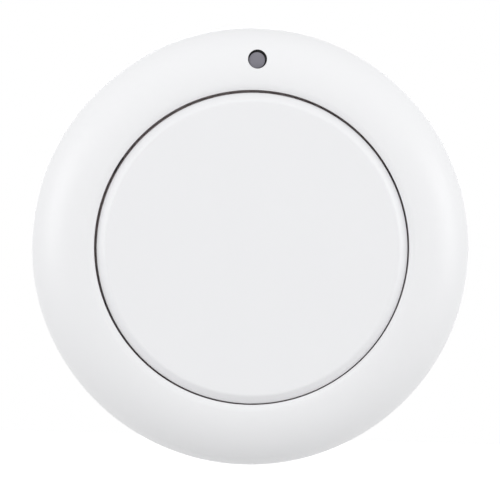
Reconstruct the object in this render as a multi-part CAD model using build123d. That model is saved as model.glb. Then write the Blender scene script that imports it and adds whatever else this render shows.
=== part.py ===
"""One-button radio transmitter for a wall: a domed round case with a large push cap.

Every piece is drawn lying on a bench, in millimetres: x to the right, y up the wall and z off
the wall, with the back of the wall plate on z = 0. At the end each piece is stood up, so that
the wall is the plane Y = 0 and the front looks along -Y, with the indicator at the top (+Z).
"""

import os
from math import cos, radians, sin

from build123d import *

# Case: the sizes that are seen from the front
RING_R = 43.0               # outside of the bezel ring
BORE_R = 30.75              # hole in the ring that the cap moves in
CREST_R = 32.25             # highest line of the ring
CAP_R = 30.33               # side wall of the cap
CAP_FACE_R = 28.8           # flat of the cap inside its bevel
CAP_SHIFT = (0.11, -0.15)   # the loose cap hangs a little off the middle of its bore
WINDOW_UP = 36.77           # indicator hole above the middle
WINDOW_R = 1.86
LENS_R = 1.57
LENS_SHIFT = (-0.08, -0.23)  # the light guide stands a little off the hole's middle

# Heights above the wall
CREST_Z = 15.0
DOME_BASE_Z = 5.0           # the dome turns into the straight skirt here
SKIRT_Z = 1.0               # lower edge of the ring: a shadow gap stays open to the wall
PLATE_Z = 2.0               # front of the wall plate
FLOOR_LOW_Z = 2.8           # chassis floor
FLOOR_Z = 4.4
BOARD_LOW_Z = 5.0
BOARD_Z = 6.2
BOSS_Z = 6.0                # screw bosses of the ring stand on the chassis here
BOSS_TOP_Z = 13.05          # and end here, inside the dome's wall
RIB_Z = 8.5                 # lower edge of the ring's stiffening ribs
STOP_Z = 6.75               # the cap's flange lands here
LIP_Z = 9.0                 # lower end of the bore wall
HOLDER_Z = 11.6             # top of the light guide's sleeve
CAP_Z = 15.25               # rim of the cap's face
CAP_UNDER_Z = 13.2
LENS_LOW_Z = 7.4
LENS_Z = 12.9

# Walls, gaps and travel
SHELL = 2.0
LIP_DROP = 0.7              # rounding of the bore's mouth
LIP_WALL = 2.0
EDGE = 0.4                  # small edge rounding
CAP_DISH = 0.25             # the cap's face is hollow by this in the middle
BEVEL_DROP = 1.26
BEVEL_FOOT_EDGE = 0.12      # the bevel ends in a crisper edge at the gap
CAP_WALL = 1.5
FLANGE_THICK = 1.3          # catch flange round the foot of the cap
FLANGE_R = BORE_R + 1.4
BOSS_PAD_R = 4.5            # centre boss of the cap
RIB_WIDE = 1.0
RIB_STEP = 22.5             # degrees between the ring's stiffening ribs
NOTCH_WIDE = 9.0            # pry notch in the lower edge of the skirt
NOTCH_HIGH = 1.1
FREE = 0.05                 # pieces that only just touch
PANEL_R = RING_R - SHELL    # inside of the skirt
DOME_WIDE = RING_R - CREST_R
DOME_HIGH = CREST_Z - DOME_BASE_Z

# Fixing to the wall
PLATE_R = 40.6
SLOT_REACH = 30.0           # screw slots either side of the middle, for a 60 mm wall box
SLOT_R = 2.1
SLOT_LONG = 7.0
SINK = 1.4                  # depth of the slots' countersink
TONGUE_ANGLES = (30, 150, 270)
TONGUE_THICK = 1.2
TONGUE_Z = 6.0
PEG_REACH = 36.0            # locating pegs left and right
PEG_R = 1.5
PAD_UP = 16.4               # adhesive pads above and below the middle
PAD_LONG = 26.0
PAD_WIDE = 11.5
PAD_THICK = 0.8

# Inside
BOSS_CIRCLE_R = 36.0
BOSS_ANGLES = (45, 135, 225, 315)
BOSS_R = 2.5
TURRET_R = 2.8              # chassis turrets under the bosses
SCREW_R = 0.98
SCREW_HEAD_R = 2.0
CHASSIS_R = 38.9
STOP_WALL_R = 32.0
STOP_WALL = 1.6
KEY_ANGLES = (30, 150, 270)  # keys on the stop wall keep the cap from turning
KEY_WIDE = 2.4
HOLDER_R = 2.3
BOARD_R = 29.8
BOARD_CUT_Y = -8.5
BOARD_SCREW_AT = ((24.0, -3.0), (-24.0, -3.0))
STAND_OFFS = ((22, 17), (-22, 17), (8.5, 8.5), (-8.5, 8.5), (0, 33))  # under the board
FEET = ((22, 19), (-22, 19), (22, -19), (-22, -19))  # of the chassis, on the wall plate
SPRING_CIRCLE_R = 24.0
SPRING_ANGLES = (90, 210, 330)
SPRING_R = 2.4
SPRING_WIRE_R = 0.225
SPRING_PIN_R = 1.7          # pins on the seat and on the cap that centre a spring
SEAT_R = 2.9
SEAT_Z = 6.4
BATTERY_R = 4.0
BATTERY_LONG = 28.0
BATTERY_AT = (-16.7, 6.9)   # y and z of the battery's axis
WELL_HALF = (16.7, 4.4)     # half length and half width inside the battery well
WELL_WALL = 1.1
ROOF_Z = (11.0, 11.75)
CONTACT_THICK = 0.4
SWITCH_SIDE = 12.0
SWITCH_Z = 9.8
PLUNGER_R = 3.4
PLUNGER_Z = 11.9
PLUNGER_FLANGE_R = 4.3
PAD_Z = (PLUNGER_Z + FREE, PLUNGER_Z + FREE + 0.65)
TONGUE_BOARD_TOP = 39.2     # upper end of the board's tongue under the indicator
ANTENNA_R = 26.5
ANTENNA_FROM, ANTENNA_TURN = 22, 50
COIL_AT = (11.0, 19.0)


def rect(x0, y0, x1, y1):
    """Flat rectangle between two corners."""
    return Pos((x0 + x1) / 2, (y0 + y1) / 2) * Rectangle(x1 - x0, y1 - y0)


def turned(section):
    """Solid turned about z from a half section drawn as (radius, height)."""
    return revolve(Plane.XZ * section, Axis.Z)


def rod(radius, low, high, x=0.0, y=0.0):
    """Upright round rod between two heights."""
    return Pos(x, y, (low + high) / 2) * Cylinder(radius, high - low)


def block(x0, y0, low, x1, y1, high):
    """Box between two corners."""
    return Pos((x0 + x1) / 2, (y0 + y1) / 2, (low + high) / 2) * Box(x1 - x0, y1 - y0, high - low)


def ring_of(outer, inner, low, high):
    """Upright tube between two heights."""
    return rod(outer, low, high) - rod(inner, low - 1, high + 1)


def polar(radius, angle):
    """Point on a circle about z, angle in degrees from +x."""
    return radius * cos(radians(angle)), radius * sin(radians(angle))


def spoke(inner, outer, width, low, high, angle):
    """Straight radial rib."""
    return Rot(0, 0, angle) * block(inner, -width / 2, low, outer, width / 2, high)


def sector(outer, inner, low, high, angle, half):
    """Piece of an upright tube, half degrees to each side of an angle."""
    tube = ring_of(outer, inner, low, high)
    reach = 2 * outer
    a, b = polar(reach, angle - half), polar(reach, angle + half)
    wedge = extrude(make_face(Polyline((0, 0), a, b, close=True)), high - low)
    return tube & (Pos(0, 0, low) * wedge)


def slot(place, radius, long, low, high, flare=0):
    """Slot cutter with round ends; place is x, y and a turn in degrees, flare widens it upwards."""
    x, y, turn = place
    flat = Pos(x, y, low) * Rot(0, 0, turn) * SlotOverall(long, 2 * radius)
    return extrude(flat, high - low, taper=-flare)


def under_dome(inset, low, in_r):
    """Half section under the dome: a quarter ellipse on a straight skirt."""
    out_r = RING_R - inset
    top = CREST_Z - inset
    dome = Pos(CREST_R, DOME_BASE_Z) * Ellipse(DOME_WIDE - inset, DOME_HIGH - inset)
    first = max(in_r, CREST_R)
    section = (dome & rect(first, DOME_BASE_Z, out_r, top)) + rect(in_r, low, out_r, DOME_BASE_Z)
    if in_r < CREST_R:
        mouth_z = CREST_Z - LIP_DROP
        mouth = Pos(CREST_R, mouth_z) * Ellipse(CREST_R - in_r, LIP_DROP)
        section += (mouth & rect(in_r, mouth_z, CREST_R, CREST_Z))
        section += rect(in_r, DOME_BASE_Z, CREST_R, mouth_z)
    return section


def screw(head_r, head_h, shank_r, long):
    """Cross head screw, head down on z = 0, shank pointing up."""
    head = Pos(0, 0, -head_h) * extrude(Circle(head_r), head_h)
    rim = head.edges().sort_by(Axis.Z)[0]
    head = fillet(rim, head_h * 0.4)
    cross = Box(head_r * 1.2, 0.45, 1.0) + Box(0.45, head_r * 1.2, 1.0)
    head -= Pos(0, 0, -head_h) * cross
    tip = 1.2
    shank = extrude(Circle(shank_r), long - tip)
    point = Pos(0, 0, long - tip / 2) * Cone(shank_r, shank_r * 0.35, tip)
    return head + shank + point


def front_ring():
    """Bezel shell: dome, bore wall, skirt, screw bosses, ribs, indicator hole and pry notch."""
    ring = turned(under_dome(0, SKIRT_Z, BORE_R))
    outline = ring.edges().filter_by(GeomType.CIRCLE).group_by(Axis.Z)[0]
    ring = fillet(outline.sort_by(lambda e: e.radius)[-1], EDGE)
    lip_out = BORE_R + LIP_WALL
    ring -= turned(under_dome(SHELL, 0, lip_out))
    rib_in = lip_out - 0.5
    rib_section = under_dome(SHELL - 0.4, 0, rib_in) & rect(rib_in, RIB_Z, RING_R, CREST_Z)
    rib = extrude(Plane.XZ * rib_section, RIB_WIDE / 2, both=True)
    for step in range(round(360 / RIB_STEP)):
        angle = step * RIB_STEP
        if angle != 90 and angle not in BOSS_ANGLES:
            ring += Rot(0, 0, angle) * rib
    for angle in BOSS_ANGLES:
        x, y = polar(BOSS_CIRCLE_R, angle)
        ring += rod(BOSS_R, BOSS_Z, BOSS_TOP_Z, x, y)
        ring -= rod(SCREW_R + 0.02, BOSS_Z - 1, BOSS_TOP_Z - 1.5, x, y)
    ring -= rod(lip_out, 0, LIP_Z)
    ring -= rod(WINDOW_R, DOME_BASE_Z, CREST_Z + 1, 0, WINDOW_UP)
    ring -= rod(HOLDER_R + 0.15, DOME_BASE_Z, HOLDER_Z + FREE, *lens_at())
    notch = NOTCH_WIDE / 2
    ring -= block(-notch, -RING_R - 1, 0, notch, -PANEL_R + 1, SKIRT_Z + NOTCH_HIGH)
    return ring


def push_cap():
    """Cap: dished face, bevel, side wall, notched catch flange, ribs, centre boss and spring pins."""
    flange_high = LIP_Z - 0.1
    flange_low = flange_high - FLANGE_THICK
    inner = CAP_R - CAP_WALL
    bevel_z = CAP_Z - BEVEL_DROP
    middle_z = CAP_Z - CAP_DISH
    face = ThreePointArc((0, middle_z), (CAP_FACE_R / 2, CAP_Z - CAP_DISH * 0.75), (CAP_FACE_R, CAP_Z))
    side = Polyline(
        (CAP_FACE_R, CAP_Z),
        (CAP_R - 0.05, bevel_z),
        (CAP_R, bevel_z - 0.3),
        (CAP_R, flange_high),
        (FLANGE_R, flange_high),
        (FLANGE_R, flange_low),
        (inner, flange_low),
        (inner, CAP_UNDER_Z),
        (0, CAP_UNDER_Z),
        (0, middle_z),
    )
    section = make_face([face, *side.edges()])
    section = fillet([v for v in section.vertices() if abs(v.X - CAP_FACE_R) < 0.01], EDGE)
    section = fillet([v for v in section.vertices() if abs(v.Y - bevel_z) < 0.01], BEVEL_FOOT_EDGE)
    cap = turned(section)
    rib_low, rib_high = CAP_UNDER_Z - 0.5, CAP_UNDER_Z + 0.5
    for angle in range(0, 360, 30):
        cap += spoke(BOSS_PAD_R + 1.5, inner + 0.5, RIB_WIDE, rib_low, rib_high, angle)
    cap += ring_of(BOSS_PAD_R + 2, BOSS_PAD_R + 1, rib_low, rib_high)
    cap += rod(BOSS_PAD_R, PAD_Z[1], rib_high)
    for angle in SPRING_ANGLES:
        x, y = polar(SPRING_CIRCLE_R, angle)
        cap -= rod(SPRING_R + 0.4, 0, CAP_UNDER_Z, x, y)
        cap += rod(SPRING_PIN_R, CAP_UNDER_Z - 1.6, rib_high, x, y)
    for angle in KEY_ANGLES:
        cap -= spoke(CAP_R + 0.1, FLANGE_R + 1, KEY_WIDE * 1.5, 0, flange_high + FREE, angle)
    return Pos(*CAP_SHIFT, 0) * cap


def pusher_pad():
    """Soft pad on the cap's centre boss."""
    pad = rod(PLUNGER_R + 0.1, *PAD_Z)
    return Pos(*CAP_SHIFT, 0) * chamfer(pad.edges().group_by(Axis.Z)[0], 0.15)


def battery_well():
    """Walls and roof of the battery well as (walls, inside)."""
    half_x, half_y = WELL_HALF
    y = BATTERY_AT[0]
    walls = block(
        -half_x - WELL_WALL, y - half_y - WELL_WALL, FLOOR_LOW_Z,
        half_x + WELL_WALL, y + half_y + WELL_WALL, ROOF_Z[1],
    )
    inside = block(-half_x, y - half_y, 0, half_x, y + half_y, ROOF_Z[0])
    return walls, inside


def chassis():
    """Carrier: floor, stop wall with keys, turrets, battery well, spring seats, stand-offs and feet."""
    body = rod(CHASSIS_R, FLOOR_LOW_Z, FLOOR_Z)
    body += ring_of(STOP_WALL_R, STOP_WALL_R - STOP_WALL, FLOOR_Z, STOP_Z)
    for angle in KEY_ANGLES:
        body += spoke(BORE_R + 0.1, STOP_WALL_R - 0.1, KEY_WIDE, FLOOR_Z, LIP_Z - 0.4, angle)
    tongue_gap = 6.2
    body -= block(-tongue_gap, 10, FLOOR_Z, tongue_gap, STOP_WALL_R + 1, STOP_Z + 1)
    for angle in BOSS_ANGLES:
        x, y = polar(BOSS_CIRCLE_R, angle)
        body += rod(TURRET_R, FLOOR_LOW_Z, BOSS_Z, x, y)
        body -= rod(SCREW_HEAD_R + 0.3, 0, FLOOR_Z + FREE, x, y)
        body -= rod(SCREW_R + 0.22, 0, BOSS_Z + 1, x, y)
    walls, inside = battery_well()
    body = body + walls - inside
    body -= slot((0, BATTERY_AT[0], 0), 2.2, 22, ROOF_Z[0] - 1, ROOF_Z[1] + 1)
    for angle in SPRING_ANGLES:
        x, y = polar(SPRING_CIRCLE_R, angle)
        body += rod(SEAT_R, FLOOR_Z, SEAT_Z, x, y) + rod(SPRING_PIN_R, SEAT_Z, SEAT_Z + 2.2, x, y)
    for x, y in STAND_OFFS:
        body += rod(1.8, FLOOR_Z, BOARD_LOW_Z, x, y)
    for x, y in BOARD_SCREW_AT:
        body += rod(2.4, FLOOR_Z, BOARD_LOW_Z, x, y)
        body -= rod(0.9, 0, BOARD_LOW_Z + 1, x, y)
    for x, y in FEET:
        body += rod(2.5, PLATE_Z, FLOOR_LOW_Z, x, y)
    for x in (-PEG_REACH, PEG_REACH):
        body -= rod(PEG_R + 0.15, 0, FLOOR_Z + 1, x, 0)
    for tab in contact_tabs(FREE):
        body -= tab
    return body


def contact_tabs(grow):
    """Tabs of both battery contacts, from inside the well over the edge of the board."""
    half_x, half_y = WELL_HALF
    y = BATTERY_AT[0] + half_y
    tabs = []
    for side in (-1, 1):
        x0, x1 = sorted((side * half_x, side * (half_x - CONTACT_THICK)))
        tabs.append(block(x0 - grow, y - 1, BOARD_Z - grow, x1 + grow, BOARD_CUT_Y + 1.6, 8.0 + grow))
    return tabs


def contact_plate(side):
    """Flat spring metal plate at one end of the well, with its tab."""
    half_x, half_y = WELL_HALF
    y, z = BATTERY_AT
    x0, x1 = sorted((side * half_x, side * (half_x - CONTACT_THICK)))
    half_high = 3.4
    plate = block(x0, y - half_y + 0.4, z - half_high, x1, y + half_y - 0.4, z + half_high)
    return plate + contact_tabs(0)[0 if side < 0 else 1]


def negative_spring():
    """Conical coil that presses on the battery's flat end."""
    wire = 0.25
    y, z = BATTERY_AT
    start = -WELL_HALF[0] + CONTACT_THICK
    long = battery_start() - start
    path = Helix(pitch=1.1, height=long, radius=3.2, cone_angle=-18)
    coil = sweep(Plane(path @ 0, z_dir=path % 0) * Circle(wire), path, is_frenet=True)
    coil &= rod(5, 0, long)
    return Pos(start, y, z) * Rot(0, 90, 0) * coil


def battery_start():
    """x of the battery's flat end."""
    return WELL_HALF[0] - CONTACT_THICK - BATTERY_LONG


def battery():
    """Cylindrical cell with a nub at its positive end, lying along x."""
    nub = 0.8
    y, z = BATTERY_AT
    can = extrude(Circle(BATTERY_R), BATTERY_LONG - nub)
    can = fillet(can.edges().filter_by(GeomType.CIRCLE), 0.35)
    can += Pos(0, 0, BATTERY_LONG - nub) * extrude(Circle(1.6), nub)
    return Pos(battery_start(), y, z) * Rot(0, 90, 0) * can


def return_spring(angle):
    """Coil spring between its seat on the chassis and the cap, ends ground flat."""
    high = CAP_UNDER_Z - SEAT_Z
    radius = SPRING_R - SPRING_WIRE_R
    path = Helix(pitch=1.15, height=high, radius=radius)
    coil = sweep(Plane(path @ 0, z_dir=path % 0) * Circle(SPRING_WIRE_R), path, is_frenet=True)
    coil &= rod(SPRING_R + 1, 0, high)
    x, y = polar(SPRING_CIRCLE_R, angle)
    return Pos(x, y, SEAT_Z) * coil


def circuit_board():
    """Board: part of a disc with a tongue under the indicator, and its holes."""
    flat = Circle(BOARD_R) & rect(-BOARD_R, BOARD_CUT_Y, BOARD_R, BOARD_R)
    flat += rect(-5, 20, 5, TONGUE_BOARD_TOP)
    corners = [v for v in flat.vertices() if v.Y > TONGUE_BOARD_TOP - 0.1 or v.Y < BOARD_CUT_Y + 0.1]
    board = extrude(Pos(0, 0, BOARD_LOW_Z) * fillet(corners, 1.0), BOARD_Z - BOARD_LOW_Z)
    board -= rod(SEAT_R + 0.4, 0, BOARD_Z + 1, *polar(SPRING_CIRCLE_R, 90))
    for x, y in BOARD_SCREW_AT:
        board -= rod(1.1, 0, BOARD_Z + 1, x, y)
    for x, y in antenna_ends():
        board -= rod(0.5, 0, BOARD_Z + 1, x, y)
    return board


def antenna_ends():
    """Where the two legs of the antenna wire pass the board."""
    return [polar(ANTENNA_R, angle) for angle in (ANTENNA_FROM, ANTENNA_FROM + ANTENNA_TURN)]


def antenna_wire():
    """Round wire bent to an arc that stands on two legs."""
    wire, z = 0.4, 9.0
    arc = CenterArc((0, 0, z), ANTENNA_R, ANTENNA_FROM, ANTENNA_TURN)
    loop = sweep(Plane(arc @ 0, z_dir=arc % 0) * Circle(wire), arc)
    for x, y in antenna_ends():
        loop += Pos(x, y, z) * Sphere(wire)
        loop += rod(wire, BOARD_LOW_Z - 0.5, z, x, y)
    return loop


def tuning_coil():
    """Air coil of bare wire lying on the board, with a foot at each end."""
    wire, radius, turns, pitch = 0.25, 1.5, 4, 0.9
    long = turns * pitch
    path = Helix(pitch=pitch, height=long, radius=radius)
    coil = sweep(Plane(path @ 0, z_dir=path % 0) * Circle(wire), path, is_frenet=True)
    for height in (0, long):
        coil += Pos(radius, 0, height) * Sphere(wire)
    x, y = COIL_AT
    coil = Pos(x, y, BOARD_Z + radius + wire + 0.1) * Rot(0, 90, 0) * coil
    for foot_x in (x, x + long):
        coil += rod(wire, BOARD_Z, BOARD_Z + wire + 0.1, foot_x, y)
    return coil


def switch_base():
    """Moulded switch base with a round well for the plunger and the contact dome."""
    half = SWITCH_SIDE / 2
    base = block(-half, -half, BOARD_Z, half, half, SWITCH_Z - 0.3)
    base = chamfer(base.edges().filter_by(Axis.Z), 0.6)
    return base - rod(PLUNGER_FLANGE_R + 0.2, BOARD_Z + 0.5, SWITCH_Z)


def switch_cover():
    """Pressed metal plate over the switch base, with two side clips."""
    half = SWITCH_SIDE / 2
    low = SWITCH_Z - 0.3
    plate = block(-half + 0.1, -half + 0.1, low, half - 0.1, half - 0.1, SWITCH_Z)
    plate = chamfer(plate.edges().filter_by(Axis.Z), 0.6)
    for side in (-1, 1):
        y0, y1 = sorted((side * half, side * (half + 0.25)))
        plate += block(-1.6, y0, BOARD_Z + 1.2, 1.6, y1, SWITCH_Z)
        y0, y1 = sorted((side * (half - 0.2), side * (half + 0.25)))
        plate += block(-1.6, y0, low, 1.6, y1, SWITCH_Z)
    return plate - rod(PLUNGER_R + 0.15, low - 1, SWITCH_Z + 1)


def switch_terminals():
    """Four bent metal feet on the board."""
    half = SWITCH_SIDE / 2
    feet = []
    for side in (-1, 1):
        for y in (-3.6, 3.6):
            outline = Polyline(
                (half, 0), (half + 1.4, 0), (half + 1.4, 0.3), (half + 0.3, 0.3),
                (half + 0.3, 1.4), (half, 1.4), close=True,
            )
            foot = Pos(0, y, BOARD_Z) * extrude(Plane.XZ * make_face(outline), 0.5, both=True)
            feet.append(foot if side > 0 else mirror(foot, Plane.YZ))
    return feet


def switch_dome():
    """Snap disc under the plunger."""
    low, high, reach, metal = BOARD_Z + 0.5, BOARD_Z + 1.35, 3.9, 0.1
    radius = (reach ** 2 + (high - low) ** 2) / (2 * (high - low))
    ball = Pos(0, 0, high - radius) * Sphere(radius)
    core = Pos(0, 0, high - radius) * Sphere(radius - metal)
    return (ball - core) & rod(reach + 1, low, high + 1)


def switch_plunger():
    """Round plunger with a flange that the cover plate holds down."""
    stem = rod(PLUNGER_R, SWITCH_Z - 1.0, PLUNGER_Z)
    stem = fillet(stem.edges().group_by(Axis.Z)[-1], 0.4)
    flange = rod(PLUNGER_FLANGE_R, SWITCH_Z - 1.35, SWITCH_Z - 0.3 - FREE)
    nub = rod(1.0, BOARD_Z + 1.4, SWITCH_Z - 1.35)
    return stem + flange + nub


def lens_at():
    """Place of the light guide seen from the front."""
    return LENS_SHIFT[0], WINDOW_UP + LENS_SHIFT[1]


def led_holder():
    """Black sleeve on the board that carries the light guide over the indicator."""
    x, y = lens_at()
    sleeve = rod(HOLDER_R, BOARD_Z, HOLDER_Z, x, y) - rod(LENS_R + 0.03, LENS_LOW_Z, HOLDER_Z + 1, x, y)
    return sleeve - rod(1.25, BOARD_Z - 1, LENS_LOW_Z + 1, x, y)


def light_guide():
    """Smoked rod whose flat end is seen in the indicator hole."""
    guide = rod(LENS_R, LENS_LOW_Z, LENS_Z, *lens_at())
    return chamfer(guide.edges().group_by(Axis.Z)[-1], 0.1)


def indicator_led():
    """Chip light under the light guide."""
    x, y = lens_at()
    base = block(x - 1.0, y - 0.625, BOARD_Z, x + 1.0, y + 0.625, BOARD_Z + 0.4)
    return base + block(x - 0.7, y - 0.625, BOARD_Z + 0.4, x + 0.7, y + 0.625, BOARD_Z + 0.85)


def encoder_chip():
    """Moulded chip with seven bent leads on each side."""
    body = block(-4.35, -1.95, 0.2, 4.35, 1.95, 1.6)
    body = chamfer(body.edges().group_by(Axis.Z)[-1], 0.25)
    body -= rod(0.5, 1.5, 2.0, -3.4, -1.1)
    lead = Polyline(
        (1.9, 0.9), (2.5, 0.9), (2.6, 0.75), (2.6, 0.2), (3.1, 0.2),
        (3.1, 0), (2.4, 0), (2.4, 0.7), (1.9, 0.7), close=True,
    )
    bent = extrude(Plane.XZ * make_face(lead), 0.2, both=True)
    lead_pitch = 1.27
    for step in range(7):
        for turn in (90, -90):
            body += Pos((step - 3) * lead_pitch, 0, 0) * Rot(0, 0, turn) * bent
    return Pos(-18, 3, BOARD_Z) * body


def resonator_can():
    """Round metal can on a flat rim."""
    can = extrude(Circle(4.6), 0.6)
    drawn = Pos(0, 0, 0.6) * extrude(Circle(4.1), 2.6)
    drawn = fillet(drawn.edges().group_by(Axis.Z)[-1], 0.5)
    tab = Rot(0, 0, 225) * block(4.2, -0.45, 0, 5.6, 0.45, 0.5)
    return Pos(14, 9, BOARD_Z) * (can + drawn + tab)


def radio_transistor():
    """Three-legged surface transistor."""
    body = block(-1.45, -0.65, 0.15, 1.45, 0.65, 1.1)
    body = chamfer(body.edges().group_by(Axis.Z)[-1], 0.15)
    for x, side in ((-0.95, -1), (0.95, -1), (0, 1)):
        y0, y1 = sorted((side * 0.6, side * 1.25))
        body += block(x - 0.2, y0, 0, x + 0.2, y1, 0.3)
    return Pos(20.5, 4, BOARD_Z) * body


def chips(places, long, wide, high):
    """Group of small end-capped chips lying on the board; each place is x, y and a quarter turn or none."""
    group = []
    cap = 0.3
    for x, y, turned_by in places:
        body = block(-long / 2 + cap, -wide / 2, 0, long / 2 - cap, wide / 2, high)
        for side in (-1, 1):
            x0, x1 = sorted((side * (long / 2 - cap), side * long / 2))
            body += block(x0, -wide / 2, 0, x1, wide / 2, high + 0.05)
        group.append(Pos(x, y, BOARD_Z) * Rot(0, 0, turned_by) * body)
    return group


def electrolytic_capacitor():
    """Upright aluminium can on its square foot."""
    foot = block(-2.65, -2.65, 0, 2.65, 2.65, 0.9)
    foot = chamfer(foot.edges().filter_by(Axis.Z), 0.5)
    can = Pos(0, 0, 0.9) * extrude(Circle(2.5), 3.9)
    can = fillet(can.edges().group_by(Axis.Z)[-1], 0.4)
    can -= Pos(0, 0, 1.7) * (Cylinder(3, 0.3) - Cylinder(2.35, 0.3))
    return Pos(-13, 14, BOARD_Z) * (foot + can)


def wall_plate():
    """Plate: cored back with ribs, countersunk screw slots, places for the pads, pegs and snap tongues."""
    plate = rod(PLATE_R, 0, PLATE_Z)
    plate = chamfer(plate.edges().group_by(Axis.Z)[0], 0.3)
    slots = [(SLOT_REACH, 0, 0), (-SLOT_REACH, 0, 0), (0, SLOT_REACH, 90), (0, -SLOT_REACH, 90)]
    hub_r = 9.0
    coring_r = PLATE_R - 4
    coring = ring_of(coring_r, hub_r, -1, PAD_THICK)
    for x, y, _ in slots:
        coring -= rod(SLOT_LONG, -2, PLATE_Z, x, y)
    half_long, half_wide = PAD_LONG / 2 + 0.5, PAD_WIDE / 2 + 0.5
    for step in range(8):
        angle = 22.5 + 45 * step
        beside_pads = abs(sin(radians(angle))) < 0.5
        rib_from = hub_r / 2 if beside_pads else PAD_UP
        coring -= spoke(rib_from, coring_r + 1, 1.6, -2, PLATE_Z, angle)
    for y in (-PAD_UP, PAD_UP):
        coring += block(-half_long, y - half_wide, -1, half_long, y + half_wide, PAD_THICK)
    plate -= coring
    tongue_in = PLATE_R - TONGUE_THICK
    plate += ring_of(tongue_in - 0.5, tongue_in - 1.5, PLATE_Z, PLATE_Z + 0.5)
    for place in slots:
        plate -= slot(place, SLOT_R, SLOT_LONG, -1, PLATE_Z + 2)
        plate -= slot(place, SLOT_R, SLOT_LONG, PLATE_Z - SINK, PLATE_Z + 0.6, flare=45)
    for x in (-PEG_REACH, PEG_REACH):
        peg = rod(PEG_R, PLATE_Z - 0.5, FLOOR_Z + 0.4, x, 0)
        plate += chamfer(peg.edges().group_by(Axis.Z)[-1], 0.4)
    bead = Polyline((PLATE_R - 0.6, 4.6), (PANEL_R - FREE, 5.2), (PLATE_R - 0.6, 5.9), close=True)
    for angle in TONGUE_ANGLES:
        plate += sector(PLATE_R, tongue_in, PLATE_Z - 0.5, TONGUE_Z, angle, 8)
        plate += turned(make_face(bead)) & sector(PANEL_R, tongue_in, 4, TONGUE_Z, angle, 8)
    return plate


def adhesive_pads():
    """Two foam strips in the back of the wall plate, level with its rim."""
    pads = []
    for side in (-1, 1):
        y = side * PAD_UP
        pad = block(-PAD_LONG / 2, y - PAD_WIDE / 2, 0, PAD_LONG / 2, y + PAD_WIDE / 2, PAD_THICK)
        pads.append(fillet(pad.edges().filter_by(Axis.Z), 1.5))
    return pads


def group_of(solids):
    """Several like pieces as one compound."""
    return Compound([piece.solid() for piece in solids])


def fastened(pieces, places):
    """The same piece at several places."""
    return [Pos(*place) * pieces for place in places]


chassis_screw_places = [(*polar(BOSS_CIRCLE_R, angle), FLOOR_Z + FREE) for angle in BOSS_ANGLES]
board_screw = Rot(180, 0, 0) * screw(1.9, 1.2, 0.88, 3.3)
board_screw_places = [(x, y, BOARD_Z) for x, y in BOARD_SCREW_AT]
resistors = (
    (-24, 9, 90), (-21, 9, 90), (-18, 9, 90), (-8.5, 11.5, 0), (5, 11, 0), (23, 10, 90), (-4, 34.5, 90),
)
capacitors = (
    (-10, 3, 90), (-10, -3, 90), (9.5, -3, 90), (16, -1, 0), (20, 14, 0), (6, 15, 90), (-18.5, -5.5, 0),
)

nodes = {
    "wall_plate": wall_plate(),
    "adhesive_pads": group_of(adhesive_pads()),
    "front_ring": front_ring(),
    "push_cap": push_cap(),
    "pusher_pad": pusher_pad(),
    "chassis": chassis(),
    "chassis_screws": group_of(fastened(screw(SCREW_HEAD_R, 1.5, SCREW_R, 6.5), chassis_screw_places)),
    "circuit_board": circuit_board(),
    "board_screws": group_of(fastened(board_screw, board_screw_places)),
    "switch_base": switch_base(),
    "switch_cover": switch_cover(),
    "switch_terminals": group_of(switch_terminals()),
    "switch_dome": switch_dome(),
    "switch_plunger": switch_plunger(),
    "led_holder": led_holder(),
    "light_guide": light_guide(),
    "indicator_led": indicator_led(),
    "battery": battery(),
    "positive_contact": contact_plate(1),
    "negative_contact": contact_plate(-1),
    "negative_spring": negative_spring(),
    "encoder_chip": encoder_chip(),
    "resonator_can": resonator_can(),
    "radio_transistor": radio_transistor(),
    "chip_resistors": group_of(chips(resistors, 2.0, 1.25, 0.5)),
    "chip_capacitors": group_of(chips(capacitors, 2.0, 1.25, 0.9)),
    "electrolytic_capacitor": electrolytic_capacitor(),
    "tuning_coil": tuning_coil(),
    "antenna_wire": antenna_wire(),
}
for number, angle in enumerate(SPRING_ANGLES, 1):
    nodes[f"return_spring_{number}"] = return_spring(angle)

os.makedirs("parts", exist_ok=True)
for name, shape in nodes.items():
    export_step(Plane.XZ * shape, f"parts/{name}.step")
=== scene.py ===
from math import cos, pi, radians, sin, sqrt, tau

import bmesh
import bpy
from mathutils import Matrix, Vector


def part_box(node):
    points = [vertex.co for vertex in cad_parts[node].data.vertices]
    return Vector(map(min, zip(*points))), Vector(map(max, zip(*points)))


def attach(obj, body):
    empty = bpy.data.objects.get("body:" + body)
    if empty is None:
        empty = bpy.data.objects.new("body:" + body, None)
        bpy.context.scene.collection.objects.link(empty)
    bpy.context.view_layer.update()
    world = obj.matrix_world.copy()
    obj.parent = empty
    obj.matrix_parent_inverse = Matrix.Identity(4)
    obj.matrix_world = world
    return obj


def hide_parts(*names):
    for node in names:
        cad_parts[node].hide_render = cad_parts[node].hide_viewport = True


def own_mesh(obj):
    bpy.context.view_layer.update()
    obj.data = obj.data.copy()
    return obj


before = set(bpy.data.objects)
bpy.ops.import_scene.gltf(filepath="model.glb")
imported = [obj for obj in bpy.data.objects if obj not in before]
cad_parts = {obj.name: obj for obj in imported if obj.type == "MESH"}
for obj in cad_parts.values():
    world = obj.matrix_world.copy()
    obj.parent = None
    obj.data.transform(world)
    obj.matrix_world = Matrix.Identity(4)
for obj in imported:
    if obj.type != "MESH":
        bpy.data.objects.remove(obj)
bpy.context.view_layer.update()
scene = bpy.context.scene

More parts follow.
